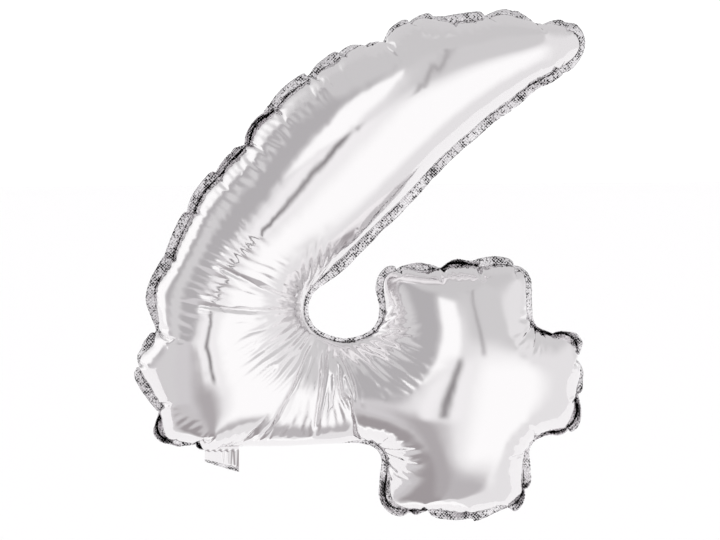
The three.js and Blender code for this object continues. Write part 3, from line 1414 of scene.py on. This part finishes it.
@dataclass(frozen=True)
class Studio:
    """A white studio with a big soft light, and a pale floor well below the balloon.

    Attributes:
        floor_drop: Floor below the balloon's lowest point, in m.
        floor_half: Half the floor's length and width, in m.
        floor_front: How far behind the balloon the floor starts, in m.
        azimuth: Camera round the balloon from the front, in degrees.
        elevation: Camera above the level, in degrees.
        distance: Camera to the balloon, in m.
        span: Width of the view at the balloon, in m.
        aim: The point that the camera looks at.
        brightness: Strength of the white walls.
        sun: Strength of the overhead light.
        sun_size: Its size on the sky, in degrees.
        zones: What the film mirrors, each laid over those before it.
    """

    floor_drop: float = 1.0
    floor_half: float = 8.0
    floor_front: float = 0.25
    azimuth: float = -5.0
    elevation: float = 7.0
    distance: float = 1.3
    span: float = 0.504
    aim: tuple[float, float, float] = (-0.0042, 0.0, -0.0007)
    brightness: float = 1.12
    sun: float = 1.2
    sun_size: float = 20.0
    zones: tuple[Zone, ...] = (
        Zone("#E5E4E5", azimuth=(-107, 150), elevation=(-95, 50)),
        Zone("#CAC9CA", azimuth=(-190, 190), elevation=(40, 95), edge=14),
        Zone("#CFCECF", azimuth=(-190, -142), elevation=(6, 70), edge=14),
        Zone("#CFCECF", azimuth=(120, 190), elevation=(6, 70), edge=14),
        Zone("#D0CED0", azimuth=(-107, -28), elevation=(-40, 10), edge=4),
        Zone("#B3B1B3", azimuth=(-107, -29), elevation=(0, 52), edge=7),
        Zone("#D2D1D2", azimuth=(-92, -64), elevation=(-30, 36), edge=9),
        Zone("#BAB7B9", azimuth=(-60, 50), elevation=(-95, -50), edge=8),
        Zone("#A09B9D", azimuth=(-100, -16), elevation=(-95, -42), edge=12),
        Zone("#AFABAD", azimuth=(-34, -6), elevation=(-80, -16), edge=10),
        Zone("#CFCECF", azimuth=(0, 60), elevation=(20, 60), edge=8),
        Zone("#FFFFFF", azimuth=(6, 62), elevation=(-52, 14), edge=12),
        Zone("#FFFFFF", azimuth=(-27, -7), elevation=(14, 46), edge=3.5),
        Zone("#F3F2F3", azimuth=(-20, 4), elevation=(-20, 12), edge=4),
        Zone("#A19EA0", azimuth=(11, 14), elevation=(14, 62), edge=2.4),
        Zone("#7A7678", azimuth=(-8.5, -4), elevation=(-18, 13), edge=2.6),
    )

    def camera(self) -> None:
        """Places the camera and makes it the scene's."""
        data = bpy.data.cameras.new("camera")
        data.sensor_width = 36.0
        data.lens = data.sensor_width * self.distance / self.span
        camera = bpy.data.objects.new("camera", data)
        bpy.context.scene.collection.objects.link(camera)
        a, e = math.radians(self.azimuth), math.radians(self.elevation)
        back = Vector((math.sin(a) * math.cos(e), -math.cos(a) * math.cos(e), math.sin(e)))
        camera.location = Vector(self.aim) + back * self.distance
        camera.rotation_euler = back.to_track_quat("Z", "Y").to_euler()
        bpy.context.scene.camera = camera

    def surroundings(self) -> None:
        """White walls, with the zones that the film mirrors laid over them."""
        world = bpy.data.worlds.new("white_studio")
        bpy.context.scene.world = world
        world.use_nodes = True
        tree = world.node_tree
        way = add_node(tree, "ShaderNodeTexCoord").outputs["Generated"]
        right, away, up = add_node(tree, "ShaderNodeSeparateXYZ", in_Vector=way).outputs
        ahead = add_node(tree, "ShaderNodeMath", operation="MULTIPLY", in_0=away, in_1=-1.0).outputs[0]
        angles = (
            add_node(tree, "ShaderNodeMath", operation="ARCTAN2", in_0=right, in_1=ahead).outputs[0],
            add_node(tree, "ShaderNodeMath", operation="ARCSINE", in_0=up).outputs[0],
        )
        colour = add_node(tree, "ShaderNodeRGB").outputs[0]
        colour.default_value = linear("#FFFFFF")
        for zone in self.zones:
            colour = add_node(
                tree, "ShaderNodeMix", data_type="RGBA", in_Factor=zone.mask(tree, angles),
                in_6=colour, in_7=linear(zone.tint),
            ).outputs[2]
        seen = add_node(tree, "ShaderNodeLightPath").outputs["Is Camera Ray"]
        colour = add_node(
            tree, "ShaderNodeMix", data_type="RGBA", in_Factor=seen, in_6=colour, in_7=linear("#FFFFFF")
        ).outputs[2]
        background = tree.nodes["Background"]
        background.inputs["Strength"].default_value = self.brightness
        tree.links.new(colour, background.inputs["Color"])

    def floor(self) -> None:
        """Lays a matt white floor."""
        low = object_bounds()[0].z - self.floor_drop
        shape = bmesh.new()
        bmesh.ops.create_grid(shape, x_segments=4, y_segments=4, size=self.floor_half)
        bmesh.ops.translate(shape, verts=shape.verts, vec=(0, self.floor_half + self.floor_front, low))
        mesh = bpy.data.meshes.new("floor")
        shape.to_mesh(mesh)
        shape.free()
        paint, _, shader = new_finish("matt_white_floor_paint")
        shader.inputs["Base Color"].default_value = linear("#F7F7F7")
        shader.inputs["Roughness"].default_value = 0.9
        mesh.materials.append(paint)
        new_piece("floor", mesh)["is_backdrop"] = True

    def lights(self) -> None:
        """Hangs one big soft light straight above, for the floor, which the film doesn't mirror."""
        data = bpy.data.lights.new("overhead_light", "SUN")
        data.energy = self.sun
        data.angle = math.radians(self.sun_size)
        light = bpy.data.objects.new("overhead_light", data)
        light.visible_glossy = False
        bpy.context.scene.collection.objects.link(light)


# ---------------------------------------------------------------- building it all


def main() -> None:
    """Builds the studio, then each sub-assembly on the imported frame."""
    logging.basicConfig(level=logging.INFO, format="%(name)s: %(message)s")
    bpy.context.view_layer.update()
    bpy.context.scene.view_settings.view_transform = "Standard"
    studio = Studio()
    studio.camera()
    studio.floor()
    studio.surroundings()
    studio.lights()

    foil = MetallisedFilm().material()
    weld = WeldedFoil().material()
    neck = FillingNeck()
    seam = seam_of(frame["nodes"]["front_film"])
    below = np.abs(seam[:, 0] - neck.pivot[0]) < neck.width / 2
    seam_height = seam[below][:, 1].min()
    mouth = (neck.pivot[0], seam_height)
    pattern = Pattern(seam=seam, neck=mouth, neck_width=neck.width)
    film = filled_film(pattern, FilmStock(), FillingPlan())
    Pleats().press(film)
    for piece in Envelope().build(film, foil, weld, mouth, neck.width):
        LOG.info("envelope: %s", piece.name)
    for piece in neck.build(seam_height - neck.pivot[2], foil, weld):
        LOG.info("filling neck: %s", piece.name)
    valve = ValveFilm().material()
    for name in ("valve_front_film", "valve_back_film"):
        frame["nodes"][name].data.materials.clear()
        frame["nodes"][name].data.materials.append(valve)
        LOG.info("valve: %s", name)


if __name__ == "__main__":
    main()
